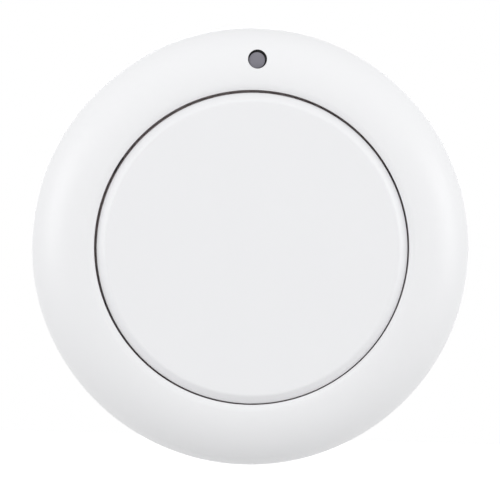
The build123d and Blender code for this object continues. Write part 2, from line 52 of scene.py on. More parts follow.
# Camera: a long lens almost straight in front, a touch up and to the left, and tilted so that
# the indicator stands a little to the right of the top.
SEEN_WIDE = 0.0983                  # what the picture's width takes in at the object, in metres
CAMERA_OFF = 1.2
CAMERA_TURN, CAMERA_RISE, CAMERA_TILT = radians(-1.6), radians(1.75), radians(-1.8)
AIM = Vector((-0.00006, -0.005, -0.00077))

camera = bpy.data.cameras.new("camera")
camera.sensor_width = 36.0
camera.lens = camera.sensor_width * CAMERA_OFF / SEEN_WIDE
viewer = bpy.data.objects.new("camera", camera)
scene.collection.objects.link(viewer)
scene.camera = viewer
towards = Vector((
    sin(CAMERA_TURN) * cos(CAMERA_RISE), -cos(CAMERA_TURN) * cos(CAMERA_RISE), sin(CAMERA_RISE),
))
viewer.location = AIM + CAMERA_OFF * towards
upright = (-towards).to_track_quat("-Z", "Y")
viewer.rotation_mode = "QUATERNION"
viewer.rotation_quaternion = upright @ Matrix.Rotation(-CAMERA_TILT, 3, "Z").to_quaternion()


# Wall plate: the flat carrier that is screwed or stuck to the wall, moulded in matt white ABS.
# Its back is cored out between ribs, and its snap tongues and pegs hold the front.
class Wire:
    """An output socket in a node tree. Arithmetic adds Math nodes, and node() adds any other."""

    def __init__(self, tree, socket=None):
        self.tree = tree
        self.socket = socket

    def node(self, kind, settings=None, inputs=None, output=0):
        """Adds a node, its settings first, then the values or links of its sockets."""
        made = self.tree.nodes.new(kind)
        for name, value in (settings or {}).items():
            setattr(made, name, value)
        for name, value in (inputs or {}).items():
            if isinstance(value, Wire):
                self.tree.links.new(value.socket, made.inputs[name])
            else:
                made.inputs[name].default_value = value
        return Wire(self.tree, made.outputs[output] if len(made.outputs) else None)

    def maths(self, operation, *values):
        return self.node("ShaderNodeMath", {"operation": operation}, dict(enumerate(values)))

    def __add__(self, other):
        return self.maths("ADD", self, other)

    def __sub__(self, other):
        return self.maths("SUBTRACT", self, other)

    def __rsub__(self, other):
        return self.maths("SUBTRACT", other, self)

    def __mul__(self, other):
        return self.maths("MULTIPLY", self, other)

    def __gt__(self, other):
        return self.maths("GREATER_THAN", self, other)

    def __lt__(self, other):
        return self.maths("LESS_THAN", self, other)

    __radd__ = __add__
    __rmul__ = __mul__


def blank(name):
    """An empty node tree of a new material, and the material."""
    material = bpy.data.materials.new(name)
    material.use_nodes = True
    material.node_tree.nodes.clear()
    return Wire(material.node_tree), material


def object_place(net):
    """Place on the object, in metres."""
    return net.node("ShaderNodeTexCoord", output="Object")


def colours(net, share, low, high):
    """Mixes two colours, or two coloured wires, by a share."""
    pair = [c if isinstance(c, Wire) else (*c, 1.0) for c in (low, high)]
    inputs = {0: share, 6: pair[0], 7: pair[1]}
    return net.node("ShaderNodeMix", {"data_type": "RGBA"}, inputs, output=2)


def noise(net, place, grain, detail=2.0, roughness=0.5):
    """Noise whose clouds are about that many millimetres across."""
    inputs = {"Vector": place, "Scale": 1000.0 / grain, "Detail": detail, "Roughness": roughness}
    return net.node("ShaderNodeTexNoise", None, inputs)


def surface(net, **inputs):
    """The Principled shader on the material's output; underscores stand for spaces."""
    sockets = {name.replace("_", " "): value for name, value in inputs.items()}
    if not isinstance(sockets.get("Base Color"), Wire):
        sockets["Base Color"] = (*sockets["Base Color"], 1.0)
    skin = net.node("ShaderNodeBsdfPrincipled", None, sockets)
    net.node("ShaderNodeOutputMaterial", None, {"Surface": skin})


def bumped(net, height, depth):
    """Surface direction over a height field whose full swing is depth, in millimetres."""
    return net.node("ShaderNodeBump", None, {"Height": height, "Distance": depth / 1000})


GAP_SHADE_DEPTH = 1.0                    # over which the painted shade deepens down the wall of a gap
# Painted shade: the warm grey that the walls of a narrow gap are darkened to.
GAP_SHADE_COLOUR = (0.84, 0.76, 0.76)


def moulded(name, colour, gloss, grain, depth, gap=None):
    """Moulded plastic: a trace of cloud in its colour, and the mould's fine grain.

    gap gives the middle, the two radii and the height, in millimetres, of a round gap whose
    walls are darkened with painted shade, a warm grey that deepens down from the mouth.
    """
    net, material = blank(name)
    place = object_place(net)
    cloud = noise(net, place, 14.0, 3.0)
    pits = noise(net, place, grain, 3.0, 0.6)
    swirl = noise(net, place, 3.5, 2.0)
    shade = tuple(0.985 * c for c in colour)
    skin = colours(net, cloud, shade, colour)
    if gap:
        (middle_x, middle_z), (inner, outer), high = gap
        axes = [net.node("ShaderNodeSeparateXYZ", None, {0: place}, output=n) for n in range(3)]
        across, off_wall, up = axes
        from_x, from_z = across - middle_x / 1000, up - middle_z / 1000
        squared = from_x * from_x + from_z * from_z
        deep = net.node("ShaderNodeMapRange", None, {
            "Value": off_wall, "From Min": -high / 1000, "From Max": (GAP_SHADE_DEPTH - high) / 1000,
        })
        # painted shade: the gap's walls darken to a warm grey over the first millimetre down
        painted_gap_shade = (squared > (inner / 1000) ** 2) * (squared < (outer / 1000) ** 2) * deep
        skin = colours(net, painted_gap_shade, skin, GAP_SHADE_COLOUR)
    surface(
        net,
        Base_Color=skin,
        Roughness=gloss - 0.04 + 0.05 * swirl + 0.03 * pits,
        IOR=1.52,
        Normal=bumped(net, pits + 0.4 * swirl, depth),
    )
    return material


def fitted(bm, name, body, finish, replaced=(), crease=32):
    """Makes a mesh, drawn where the piece hangs on the wall, into a piece of the object."""
    bmesh.ops.recalc_face_normals(bm, faces=bm.faces)
    mesh = bpy.data.meshes.new(name)
    bm.to_mesh(mesh)
    bm.free()
    mesh.shade_smooth()
    mesh.set_sharp_from_angle(angle=radians(crease))
    mesh.materials.append(finish)
    piece = bpy.data.objects.new(name, mesh)
    scene.collection.objects.link(piece)
    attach(piece, body)
    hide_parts(*replaced)
    return piece


def softened(bm, lines, size, segments=2):
    """Rounds some edges of a mesh."""
    bmesh.ops.bevel(
        bm, geom=lines, offset=size, offset_type="OFFSET", segments=segments,
        profile=0.5, affect="EDGES", material=-1,
    )


def eased(node, size):
    """A merged copy of a CAD node, its sharp outer edges rounded by a size in millimetres."""
    bm = bmesh.new()
    bm.from_mesh(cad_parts[node].data)
    bmesh.ops.remove_doubles(bm, verts=bm.verts, dist=2e-6)
    bmesh.ops.dissolve_limit(bm, angle_limit=radians(0.3), verts=bm.verts, edges=bm.edges)
    sharp = [line for line in bm.edges if line.calc_face_angle_signed(0.0) > radians(50)]
    softened(bm, sharp, size / 1000)
    return bm


EASED_CREASE = 26                   # keeps the narrow rounded strips crisp beside the flat faces
plate_white = moulded("plate_white", (0.84, 0.84, 0.84), 0.55, 0.5, 0.01)
fitted(
    eased("wall_plate", 0.14), "wall_carrier", "wall_plate", plate_white,
    ["wall_plate"], EASED_CREASE,
)

# Adhesive pads: two strips of closed-cell foam in the plate's back, die-cut with round corners,
# each still under its waxed paper liner, which has a tab at one end to pull it off by.
STAND = Matrix.Rotation(pi / 2, 4, "X") @ Matrix.Scale(0.001, 4)    # from the bench, in millimetres


def piece_of(bm, name, body, finish, replaced=(), crease=32):
    """Stands a mesh drawn on the bench up against the wall and fits it as a piece."""
    bmesh.ops.transform(bm, matrix=STAND, verts=bm.verts)
    return fitted(bm, name, body, finish, replaced, crease)


def placed(bm, part, turned_by=0.0, place=(0.0, 0.0, 0.0)):
    """Adds a part to a mesh, turned about the upright axis and moved, and frees it."""
    turn = Matrix.Rotation(radians(turned_by), 3, "Z")
    bmesh.ops.rotate(part, verts=part.verts, cent=(0, 0, 0), matrix=turn)
    bmesh.ops.translate(part, verts=part.verts, vec=place)
    held = bpy.data.meshes.new("held")
    part.to_mesh(held)
    part.free()
    bm.from_mesh(held)
    bpy.data.meshes.remove(held)


def slab(low, high, corner=0.0, edge=0.0):
    """A block between two corners, its upright edges rounded by corner and then its rims by edge."""
    part = bmesh.new()
    bmesh.ops.create_cube(part, size=1.0)
    low, high = Vector(low), Vector(high)
    bmesh.ops.scale(part, verts=part.verts, vec=high - low)
    bmesh.ops.translate(part, verts=part.verts, vec=(low + high) / 2)
    if corner:
        upright = [e for e in part.edges if abs(e.verts[0].co.z - e.verts[1].co.z) > 1e-4]
        softened(part, upright, corner, 5)
    if edge:
        rims = [e for e in part.edges if e.calc_face_angle(0.0) > radians(60)]
        softened(part, rims, edge)
    return part


PAD_UP, PAD_HALF, PAD_THICK, LINER = 16.4, Vector((13.0, 5.75)), 0.8, 0.1
pads, liners = bmesh.new(), bmesh.new()
for up in (-PAD_UP, PAD_UP):
    placed(pads, slab((*-PAD_HALF, LINER), (*PAD_HALF, PAD_THICK), 1.5, 0.06), 0, (0, up, 0))
    placed(liners, slab((*-PAD_HALF, 0.0), (*PAD_HALF, LINER), 1.5, 0.02), 0, (0, up, 0))
    tab = slab((PAD_HALF.x - 0.5, -2.5, 0.01), (PAD_HALF.x + 0.45, 2.5, LINER - 0.01), 0.3, 0.02)
    placed(liners, tab, 0, (0, up, 0))
foam, foam_material = blank("foam")
spot = object_place(foam)
cells = foam.node("ShaderNodeTexVoronoi", None, {"Vector": spot, "Scale": 3500.0})
fibres = noise(foam, spot, 0.8, 4.0)
surface(
    foam,
    Base_Color=colours(foam, fibres, (0.66, 0.68, 0.66), (0.78, 0.79, 0.76)),
    Roughness=0.75 + 0.1 * cells,
    Normal=bumped(foam, cells + fibres, 0.02),
)
piece_of(pads, "foam_pads", "wall_plate", foam_material, ["adhesive_pads"])
waxed, waxed_material = blank("liner_paper")
spot = object_place(waxed)
fibres = noise(waxed, spot, 0.6, 4.0)
clouds = noise(waxed, spot, 6.0, 2.0)
surface(
    waxed,
    Base_Color=colours(waxed, clouds, (0.7, 0.69, 0.62), (0.78, 0.77, 0.71)),
    Roughness=0.38 + 0.12 * fibres,
    Normal=bumped(waxed, fibres + 0.5 * clouds, 0.008),
)
piece_of(liners, "pad_liners", "wall_plate", waxed_material, ["adhesive_pads"])

# Chassis: the carrier behind the board, natural white ABS, screwed to the ring from behind. It
# has the battery well, the spring seats and the wall that stops the cap.
chassis_white = moulded("chassis_white", (0.8, 0.8, 0.79), 0.5, 0.6, 0.012)
fitted(
    eased("chassis", 0.1), "carrier", "front", chassis_white,
    ["chassis"], EASED_CREASE,
)


# Battery contacts and their spring: nickel-plated spring steel, the contacts pressed from strip
# and the spring wound from wire. They stand in the chassis at both ends of the battery.
def metal(name, colour, gloss, grain, depth):
    """Bare metal, a little tarnished in clouds, with the streaks of its rolling or drawing."""
    net, material = blank(name)
    place = object_place(net)
    streak = noise(net, place, grain, 3.0, 0.6)
    tarnish = noise(net, place, 5.0, 3.0)
    shade = tuple(0.8 * c for c in colour)
    surface(
        net,
        Base_Color=colours(net, tarnish, shade, colour),
        Metallic=1.0,
        Roughness=gloss + 0.14 * streak,
        Normal=bumped(net, streak, depth),
    )
    return material


def dress(finish, *names):
    """Gives CAD nodes a finish."""
    for name in names:
        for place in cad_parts[name].material_slots:
            place.material = finish


spring_steel = metal("spring_steel", (0.6, 0.6, 0.61), 0.24, 0.4, 0.004)
dress(spring_steel, "positive_contact", "negative_contact", "negative_spring")


# Battery: a 12 V cell of 8 by 28 mm in a plain printed film jacket, which is shrunk over the
# edges of its steel can and leaves the flat end and the shoulder round the nub bare.
def turned(outline, steps, closed=True):
    """A half section of (radius, height) points, in millimetres, spun about the upright axis."""
    bm = bmesh.new()
    section = [bm.verts.new((r, 0.0, z)) for r, z in outline]
    ends = section[1:] + section[:1] if closed else section[1:]
    edges = [bm.edges.new(pair) for pair in zip(section, ends)]
    bmesh.ops.spin(
        bm, geom=section + edges, cent=(0, 0, 0), axis=(0, 0, 1), dvec=(0, 0, 0),
        angle=tau, steps=steps, use_merge=True,
    )
    bmesh.ops.remove_doubles(bm, verts=bm.verts, dist=1e-4)
    bmesh.ops.recalc_face_normals(bm, faces=bm.faces)
    return bm


def arc(centre, radii, start, end, steps):
    """Points of an ellipse arc in a half section, without its first; angles from the radius."""
    points = []
    for step in range(1, steps + 1):
        angle = radians(start + (end - start) * step / steps)
        points.append((centre[0] + radii[0] * cos(angle), centre[1] + radii[1] * sin(angle)))
    return points


def on_bench(node):
    """Lowest and highest corner of a CAD node on the bench, in millimetres."""
    low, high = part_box(node)
    return Vector((low.x, low.z, -high.y)) * 1000, Vector((high.x, high.z, -low.y)) * 1000


cell_low, cell_high = on_bench("battery")
CELL_R, CELL_LONG = (cell_high.y - cell_low.y) / 2, cell_high.x - cell_low.x
NUB_R, NUB_LONG = 1.6, 0.8
shoulder = CELL_LONG - NUB_LONG
can = [(0, 0), (2.95, 0), (3.05, 0.12), (3.3, 0.12), (3.4, 0.02), (CELL_R - 0.36, 0.02)]
can += arc((CELL_R - 0.36, 0.38), (0.36, 0.36), -90, 0, 5)
can += arc((CELL_R - 0.36, shoulder - 0.36), (0.36, 0.36), 0, 90, 5)
can += [(3.4, shoulder), (3.3, shoulder - 0.12), (2.2, shoulder - 0.12), (NUB_R + 0.1, shoulder)]
can += [(NUB_R, shoulder + 0.1), (NUB_R, CELL_LONG - 0.2)]
can += arc((NUB_R - 0.2, CELL_LONG - 0.2), (0.2, 0.2), 0, 90, 4)
bm = turned([*can, (0, CELL_LONG)], 96, closed=False)
bmesh.ops.rotate(bm, verts=bm.verts, cent=(0, 0, 0), matrix=Matrix.Rotation(pi / 2, 3, "Y"))
bmesh.ops.translate(bm, verts=bm.verts, vec=(
    cell_low.x, (cell_low.y + cell_high.y) / 2, (cell_low.z + cell_high.z) / 2,
))
jacket, jacket_material = blank("battery_jacket")
spot = object_place(jacket)
along = jacket.node("ShaderNodeSeparateXYZ", None, {0: spot}, output=0)
nub_x = (cell_high.x - NUB_LONG) / 1000
bare = (along < cell_low.x / 1000 + 0.00014) + (along > nub_x - 0.00014)
band = (along > nub_x - 0.0085) * (along < nub_x - 0.003)
film = noise(jacket, spot, 2.5, 3.0)
print_colour = colours(jacket, band, (0.62, 0.64, 0.65), (0.02, 0.13, 0.2))
surface(
    jacket,
    Base_Color=colours(jacket, bare, print_colour, (0.62, 0.62, 0.63)),
    Metallic=bare,
    Roughness=0.28 + 0.12 * film,
    Normal=bumped(jacket, film, 0.01),
)
piece_of(bm, "cell", "front", jacket_material, ["battery"])

# Circuit board: glass fibre under green solder resist, with faint tracks below the resist and
# bare tinned rings where its two screws bite.
BOARD_Z = 6.2
SCREW_RING_AT = ((24.0, -3.0), (-24.0, -3.0))
SCREW_RING_R = 2.3
TRACK_WIDE = 0.07                   # share of the pattern that is copper
board, board_material = blank("board")
spot = object_place(board)
diagonal = board.node("ShaderNodeMapping", None, {
    "Vector": spot, "Rotation": (0.0, radians(45), 0.0),
})
tracks = board.node("ShaderNodeTexVoronoi", {"feature": "DISTANCE_TO_EDGE"}, {
    "Vector": diagonal, "Scale": 260.0,
})
copper_under = tracks < TRACK_WIDE
weave = noise(board, spot, 0.7, 3.0)
tinned_ring = 0.0
across = board.node("ShaderNodeSeparateXYZ", None, {0: spot}, output=0)
up = board.node("ShaderNodeSeparateXYZ", None, {0: spot}, output=2)
for x, y in SCREW_RING_AT:
    offset_x, offset_y = across - x / 1000, up - y / 1000
    squared = offset_x * offset_x + offset_y * offset_y
    tinned_ring = (squared < (SCREW_RING_R / 1000) ** 2) + tinned_ring
resist = colours(board, copper_under, (0.012, 0.11, 0.045), (0.03, 0.2, 0.085))
surface(
    board,
    Base_Color=colours(board, tinned_ring, resist, (0.68, 0.68, 0.67)),
    Metallic=tinned_ring,
    Roughness=0.3 + 0.12 * weave,
    Normal=bumped(board, copper_under + 0.3 * weave, 0.02),
)
dress(board_material, "circuit_board")

# Encoder chip: moulded black epoxy with a dimple at its first lead, and fourteen bent tinned
# leads that stand on the board.
CHIP_AT, CHIP_HALF = Vector((-18.0, 3.0, BOARD_Z)), (4.35, 1.95)
LEAD_PITCH, LEAD_WIDE = 1.27, 0.4


def bent(outline, wide):
    """A strip bent to an outline of (outwards, up) points, in millimetres, wide across."""
    part = bmesh.new()
    side = part.faces.new([part.verts.new((x, -wide / 2, z)) for x, z in outline])
    drawn = bmesh.ops.extrude_face_region(part, geom=[side])["geom"]
    moved = [v for v in drawn if isinstance(v, bmesh.types.BMVert)]
    bmesh.ops.translate(part, vec=(0, wide, 0), verts=moved)
    return part


def cutter_of(bm):
    """A loose object from a mesh drawn on the bench, to cut or join with."""
    bmesh.ops.recalc_face_normals(bm, faces=bm.faces)
    bmesh.ops.transform(bm, matrix=STAND, verts=bm.verts)
    mesh = bpy.data.meshes.new("cutter")
    bm.to_mesh(mesh)
    bm.free()
    cutter = bpy.data.objects.new("cutter", mesh)
    scene.collection.objects.link(cutter)
    return cutter


def worked(piece, *steps, crease=32):
    """Joins solids to a piece or cuts them out of it, one (operation, mesh) step at a time."""
    for operation, bm in steps:
        cutter = cutter_of(bm)
        step = piece.modifiers.new(operation, "BOOLEAN")
        step.operation = operation
        step.solver = "EXACT"
        step.object = cutter
        graph = bpy.context.evaluated_depsgraph_get()
        mesh = bpy.data.meshes.new_from_object(piece.evaluated_get(graph))
        piece.modifiers.clear()
        piece.data = mesh
        bpy.data.objects.remove(cutter)
    piece.data.set_sharp_from_angle(angle=radians(crease))


black_epoxy = moulded("chip_black", (0.03, 0.03, 0.035), 0.6, 0.2, 0.01)
tinned = metal("tinned_leads", (0.7, 0.7, 0.7), 0.3, 0.3, 0.004)
package = slab((-CHIP_HALF[0], -CHIP_HALF[1], 0.2), (*CHIP_HALF, 1.6), 0.06, 0.14)
bmesh.ops.translate(package, verts=package.verts, vec=CHIP_AT)
chip = piece_of(package, "encoder_package", "front", black_epoxy, ["encoder_chip"])
dimple = bmesh.new()
bmesh.ops.create_uvsphere(dimple, u_segments=24, v_segments=12, radius=0.6)
bmesh.ops.translate(dimple, verts=dimple.verts, vec=CHIP_AT + Vector((-3.4, -1.1, 2.05)))
worked(chip, ("DIFFERENCE", dimple))
leads = bmesh.new()
for step in range(7):
    for turn in (90, -90):
        lead = bent((
            (CHIP_HALF[1] - 0.1, 0.9), (2.45, 0.9), (2.6, 0.75), (2.6, 0.24), (2.66, 0.18), (3.1, 0.18),
            (3.1, 0.0), (2.55, 0.0), (2.42, 0.13), (2.42, 0.7), (CHIP_HALF[1] - 0.1, 0.7),
        ), LEAD_WIDE)
        placed(leads, lead, turn, CHIP_AT + Vector(((step - 3) * LEAD_PITCH, 0, 0)))
piece_of(leads, "encoder_leads", "front", tinned, ["encoder_chip"])

# Radio transistor: a small black epoxy moulding that stands clear of the board on three bent
# tinned leads, two on one side and one on the other.
TRANSISTOR_AT = Vector((20.5, 4.0, BOARD_Z))
package = slab((-1.45, -0.65, 0.15), (1.45, 0.65, 1.1), 0.06, 0.1)
leads = bmesh.new()
for x, turn in ((-0.95, -90), (0.95, -90), (0.0, 90)):
    lead = bent((
        (0.55, 0.6), (0.85, 0.6), (0.93, 0.5), (0.93, 0.15), (1.25, 0.15),
        (1.25, 0.0), (0.85, 0.0), (0.78, 0.1), (0.78, 0.45), (0.55, 0.45),
    ), LEAD_WIDE)
    placed(leads, lead, turn, TRANSISTOR_AT + Vector((x, 0, 0)))
bmesh.ops.translate(package, verts=package.verts, vec=TRANSISTOR_AT)
piece_of(package, "transistor_package", "front", black_epoxy, ["radio_transistor"])
piece_of(leads, "transistor_leads", "front", tinned, ["radio_transistor"])

# Chip resistors and chip capacitors: small fired blocks, the resistors with a black glaze on
# white ceramic and the capacitors plain brown, with tinned caps on both ends.
CHIP_LONG, CHIP_WIDE, CAP_LONG = 2.0, 1.25, 0.3


def chips(kind, finish, high, places):
    """A group of chips lying on the board, and their end caps; a place is x, y and degrees."""
    blocks, caps = bmesh.new(), bmesh.new()
    for x, y, turn in places:
        half, side = CHIP_LONG / 2, CHIP_WIDE / 2
        block = slab((-half + 0.05, -side + 0.02, 0.03), (half - 0.05, side - 0.02, high), 0, 0.04)
        placed(blocks, block, turn, (x, y, BOARD_Z))
        for end in (-1, 1):
            low_x, high_x = sorted((end * (half - CAP_LONG), end * half))
            cap = slab((low_x, -side, 0.0), (high_x, side, high + 0.05), 0, 0.06)
            placed(caps, cap, turn, (x, y, BOARD_Z))
    piece_of(blocks, f"{kind}_blocks", "front", finish, [f"chip_{kind}s"])
    piece_of(caps, f"{kind}_caps", "front", tinned, [f"chip_{kind}s"])


glazed, glazed_material = blank("resistor_glaze")
spot = object_place(glazed)
off_wall = 0.0 - glazed.node("ShaderNodeSeparateXYZ", None, {0: spot}, output=1)
glaze_top = off_wall > (BOARD_Z + 0.42) / 1000
specks = noise(glazed, spot, 0.3, 3.0)
surface(
    glazed,
    Base_Color=colours(glazed, glaze_top, (0.72, 0.72, 0.7), (0.02, 0.02, 0.023)),
    Roughness=0.35 + 0.2 * specks,
    Normal=bumped(glazed, specks, 0.01),
)
ceramic = moulded("chip_ceramic", (0.45, 0.33, 0.22), 0.5, 0.3, 0.006)
chips("resistor", glazed_material, 0.5, (
    (-24, 9, 90), (-21, 9, 90), (-18, 9, 90), (-8.5, 11.5, 0), (5, 11, 0), (23, 10, 90), (-4, 34.5, 90),
))
chips("capacitor", ceramic, 0.9, (
    (-10, 3, 90), (-10, -3, 90), (9.5, -3, 90), (16, -1, 0), (20, 14, 0), (6, 15, 90), (-18.5, -5.5, 0),
))

# Resonator: a round can of plated steel, drawn in one piece and welded on a flat rim. A tab on
# the rim marks its first pin.
RESONATOR_AT = (14, 9, BOARD_Z)
plated = metal("steel", (0.66, 0.66, 0.68), 0.26, 0.5, 0.004)
can = [(0, 0), (4.5, 0), (4.6, 0.1), (4.6, 0.32), (4.5, 0.42), (4.35, 0.44), (4.3, 0.6)]
can += [(4.16, 0.62), (4.1, 0.75)]
can += arc((3.6, 2.7), (0.5, 0.5), 0, 90, 6)
can += [(3.1, 3.2), (3.0, 3.14), (0, 3.14)]
bm = turned(can, 72, closed=False)
placed(bm, slab((4.2, -0.45, 0.02), (5.6, 0.45, 0.4), 0.15, 0.05), 225)
bmesh.ops.translate(bm, verts=bm.verts, vec=RESONATOR_AT)
piece_of(bm, "resonator", "front", plated, ["resonator_can"])

# Electrolytic capacitor: a drawn aluminium can, crimped onto a moulded foot, and with a dark
# half on its top that marks the negative side.
SMOOTHER_AT = Vector((-13.0, 14.0, BOARD_Z))
can = [(0, 0.85), (2.42, 0.85), (2.5, 0.93), (2.5, 1.5)]
can += arc((2.5, 1.7), (0.15, 0.2), 270, 90, 6)
can += [(2.5, 4.35)]
can += arc((2.1, 4.4), (0.4, 0.4), 0, 90, 6)
can += [(1.75, 4.8), (1.65, 4.72), (0, 4.72)]
bm = turned(can, 64, closed=False)
bmesh.ops.translate(bm, verts=bm.verts, vec=SMOOTHER_AT)
drawn, drawn_material = blank("aluminium")
spot = object_place(drawn)
height = 0.0 - drawn.node("ShaderNodeSeparateXYZ", None, {0: spot}, output=1)
across = drawn.node("ShaderNodeSeparateXYZ", None, {0: spot}, output=0)
marked = (height > (BOARD_Z + 4.6) / 1000) * (across < (SMOOTHER_AT.x - 0.9) / 1000)
scuffs = noise(drawn, spot, 0.4, 3.0)
surface(
    drawn,
    Base_Color=colours(drawn, marked, (0.78, 0.78, 0.79), (0.03, 0.03, 0.035)),
    Metallic=1.0 - marked,
    Roughness=0.3 + 0.12 * scuffs,
    Normal=bumped(drawn, scuffs, 0.004),
)
piece_of(bm, "smoothing_can", "front", drawn_material, ["electrolytic_capacitor"])
foot = slab((-2.65, -2.65, 0), (2.65, 2.65, 0.9), 0.5, 0.08)
bmesh.ops.translate(foot, verts=foot.verts, vec=SMOOTHER_AT)
piece_of(foot, "smoothing_foot", "front", black_epoxy, ["electrolytic_capacitor"])

# Tuning coil and antenna: bare copper wire, wound and bent, with a cone of solder round each
# leg where it enters the board.
bare_copper = metal("copper", (0.8, 0.46, 0.3), 0.3, 0.4, 0.004)
dress(bare_copper, "tuning_coil", "antenna_wire")
solder = metal("solder", (0.72, 0.72, 0.71), 0.2, 0.8, 0.01)
ANTENNA_R, ANTENNA_ENDS = 26.5, (22, 72)
joints = bmesh.new()
legs = [(ANTENNA_R * cos(radians(a)), ANTENNA_R * sin(radians(a)), 0.4) for a in ANTENNA_ENDS]
legs += [(11.0, 19.0, 0.25), (14.6, 19.0, 0.25)]
for x, y, wire in legs:
    cone = [(wire - 0.05, 0.0), (wire + 0.55, 0.0), (wire + 0.3, 0.1), (wire + 0.12, 0.3)]
    cone += [(wire - 0.05, 0.5)]
    placed(joints, turned(cone, 28), 0, (x, y, BOARD_Z))
piece_of(joints, "solder_joints", "front", solder, crease=50)

# Push switch: a black moulded base and plunger under a pressed cover, on four bent terminals,
# with a snap disc of spring steel that the plunger flattens.
black_nylon = moulded("black_plastic", (0.02, 0.02, 0.021), 0.55, 0.3, 0.012)
fitted(
    eased("switch_base", 0.06), "switch_housing", "front", black_nylon,
    ["switch_base"], EASED_CREASE,
)
fitted(
    eased("switch_cover", 0.05), "switch_plate", "front", plated,
    ["switch_cover"], EASED_CREASE,
)
dress(tinned, "switch_terminals")
PLUNGER_R, PLUNGER_FLANGE_R, PLUNGER_Z = 3.4, 4.3, 11.9
stem = [(0, 7.6), (0.85, 7.6), (1.0, 7.75), (1.0, 8.45), (4.2, 8.45), (PLUNGER_FLANGE_R, 8.55)]
stem += [(PLUNGER_FLANGE_R, 9.35), (4.2, 9.45), (PLUNGER_R, 9.45), (PLUNGER_R, PLUNGER_Z - 0.35)]
stem += arc((PLUNGER_R - 0.35, PLUNGER_Z - 0.35), (0.35, 0.35), 0, 90, 6)
stem += [(2.4, PLUNGER_Z), (2.25, PLUNGER_Z - 0.12), (0, PLUNGER_Z - 0.12)]
piece_of(
    turned(stem, 72, closed=False), "switch_button", "plunger", black_nylon,
    ["switch_plunger"],
)

DOME_R, DOME_LOW, DOME_HIGH, DOME_METAL = 3.9, BOARD_Z + 0.5, BOARD_Z + 1.35, 0.1
rise = DOME_HIGH - DOME_LOW
shares = [step / 12 for step in range(13)]
outside = [(DOME_R * share, DOME_HIGH - rise * share ** 2) for share in shares]
inside = [
    (DOME_R * share, DOME_HIGH - DOME_METAL - (rise - DOME_METAL) * share ** 2)
    for share in shares[:-1]
]
disc = piece_of(
    turned(outside + inside[::-1], 64, closed=False), "snap_disc", "front",
    spring_steel, ["switch_dome"],
)
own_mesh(disc)

# Indicator: a chip light soldered to the board under the light guide, a lens of amber-white
# resin on a white base.
lamp_white = moulded("lamp_white", (0.85, 0.84, 0.72), 0.4, 0.3, 0.004)
fitted(
    eased("indicator_led", 0.05), "indicator_chip", "front", lamp_white,
    ["indicator_led"], EASED_CREASE,
)

# Sleeve and light guide: a black sleeve on the board carries a smoked acrylic rod, whose
# frosted flat end is what the eye meets in the indicator hole.
guide_low, guide_high = on_bench("light_guide")
sleeve_low, sleeve_high = on_bench("led_holder")
GUIDE_AT = Vector(((guide_low.x + guide_high.x) / 2, (guide_low.y + guide_high.y) / 2, 0.0))
GUIDE_R, SLEEVE_R = (guide_high.x - guide_low.x) / 2, (sleeve_high.x - sleeve_low.x) / 2
LIGHT_HOLE_R, GUIDE_FREE, GUIDE_EDGE = 1.25, 0.03, 0.09
rod = [(0, guide_low.z), (GUIDE_R, guide_low.z), (GUIDE_R, guide_high.z - GUIDE_EDGE)]
rod += arc((GUIDE_R - GUIDE_EDGE, guide_high.z - GUIDE_EDGE), (GUIDE_EDGE, GUIDE_EDGE), 0, 90, 4)
bm = turned([*rod, (0, guide_high.z)], 72, closed=False)
bmesh.ops.translate(bm, verts=bm.verts, vec=GUIDE_AT)
smoked, smoked_material = blank("smoked_lens")
spot = object_place(smoked)
frost = noise(smoked, spot, 0.25, 3.0, 0.6)
depth_cloud = noise(smoked, spot, 1.4, 2.0)
surface(
    smoked,
    Base_Color=colours(smoked, depth_cloud, (0.205, 0.198, 0.232), (0.235, 0.228, 0.262)),
    Roughness=0.32 + 0.14 * frost,
    IOR=1.49,
    Normal=bumped(smoked, frost, 0.006),
)
piece_of(bm, "smoked_guide", "front", smoked_material, ["light_guide"])
bore = GUIDE_R + GUIDE_FREE
sleeve = [(LIGHT_HOLE_R, sleeve_low.z), (SLEEVE_R, sleeve_low.z), (SLEEVE_R, sleeve_high.z - 0.12)]
sleeve += arc((SLEEVE_R - 0.12, sleeve_high.z - 0.12), (0.12, 0.12), 0, 90, 4)
sleeve += [(bore, sleeve_high.z), (bore, guide_low.z), (LIGHT_HOLE_R, guide_low.z)]
bm = turned(sleeve, 72)
bmesh.ops.translate(bm, verts=bm.verts, vec=GUIDE_AT)
piece_of(bm, "guide_sleeve", "front", black_nylon, ["led_holder"])

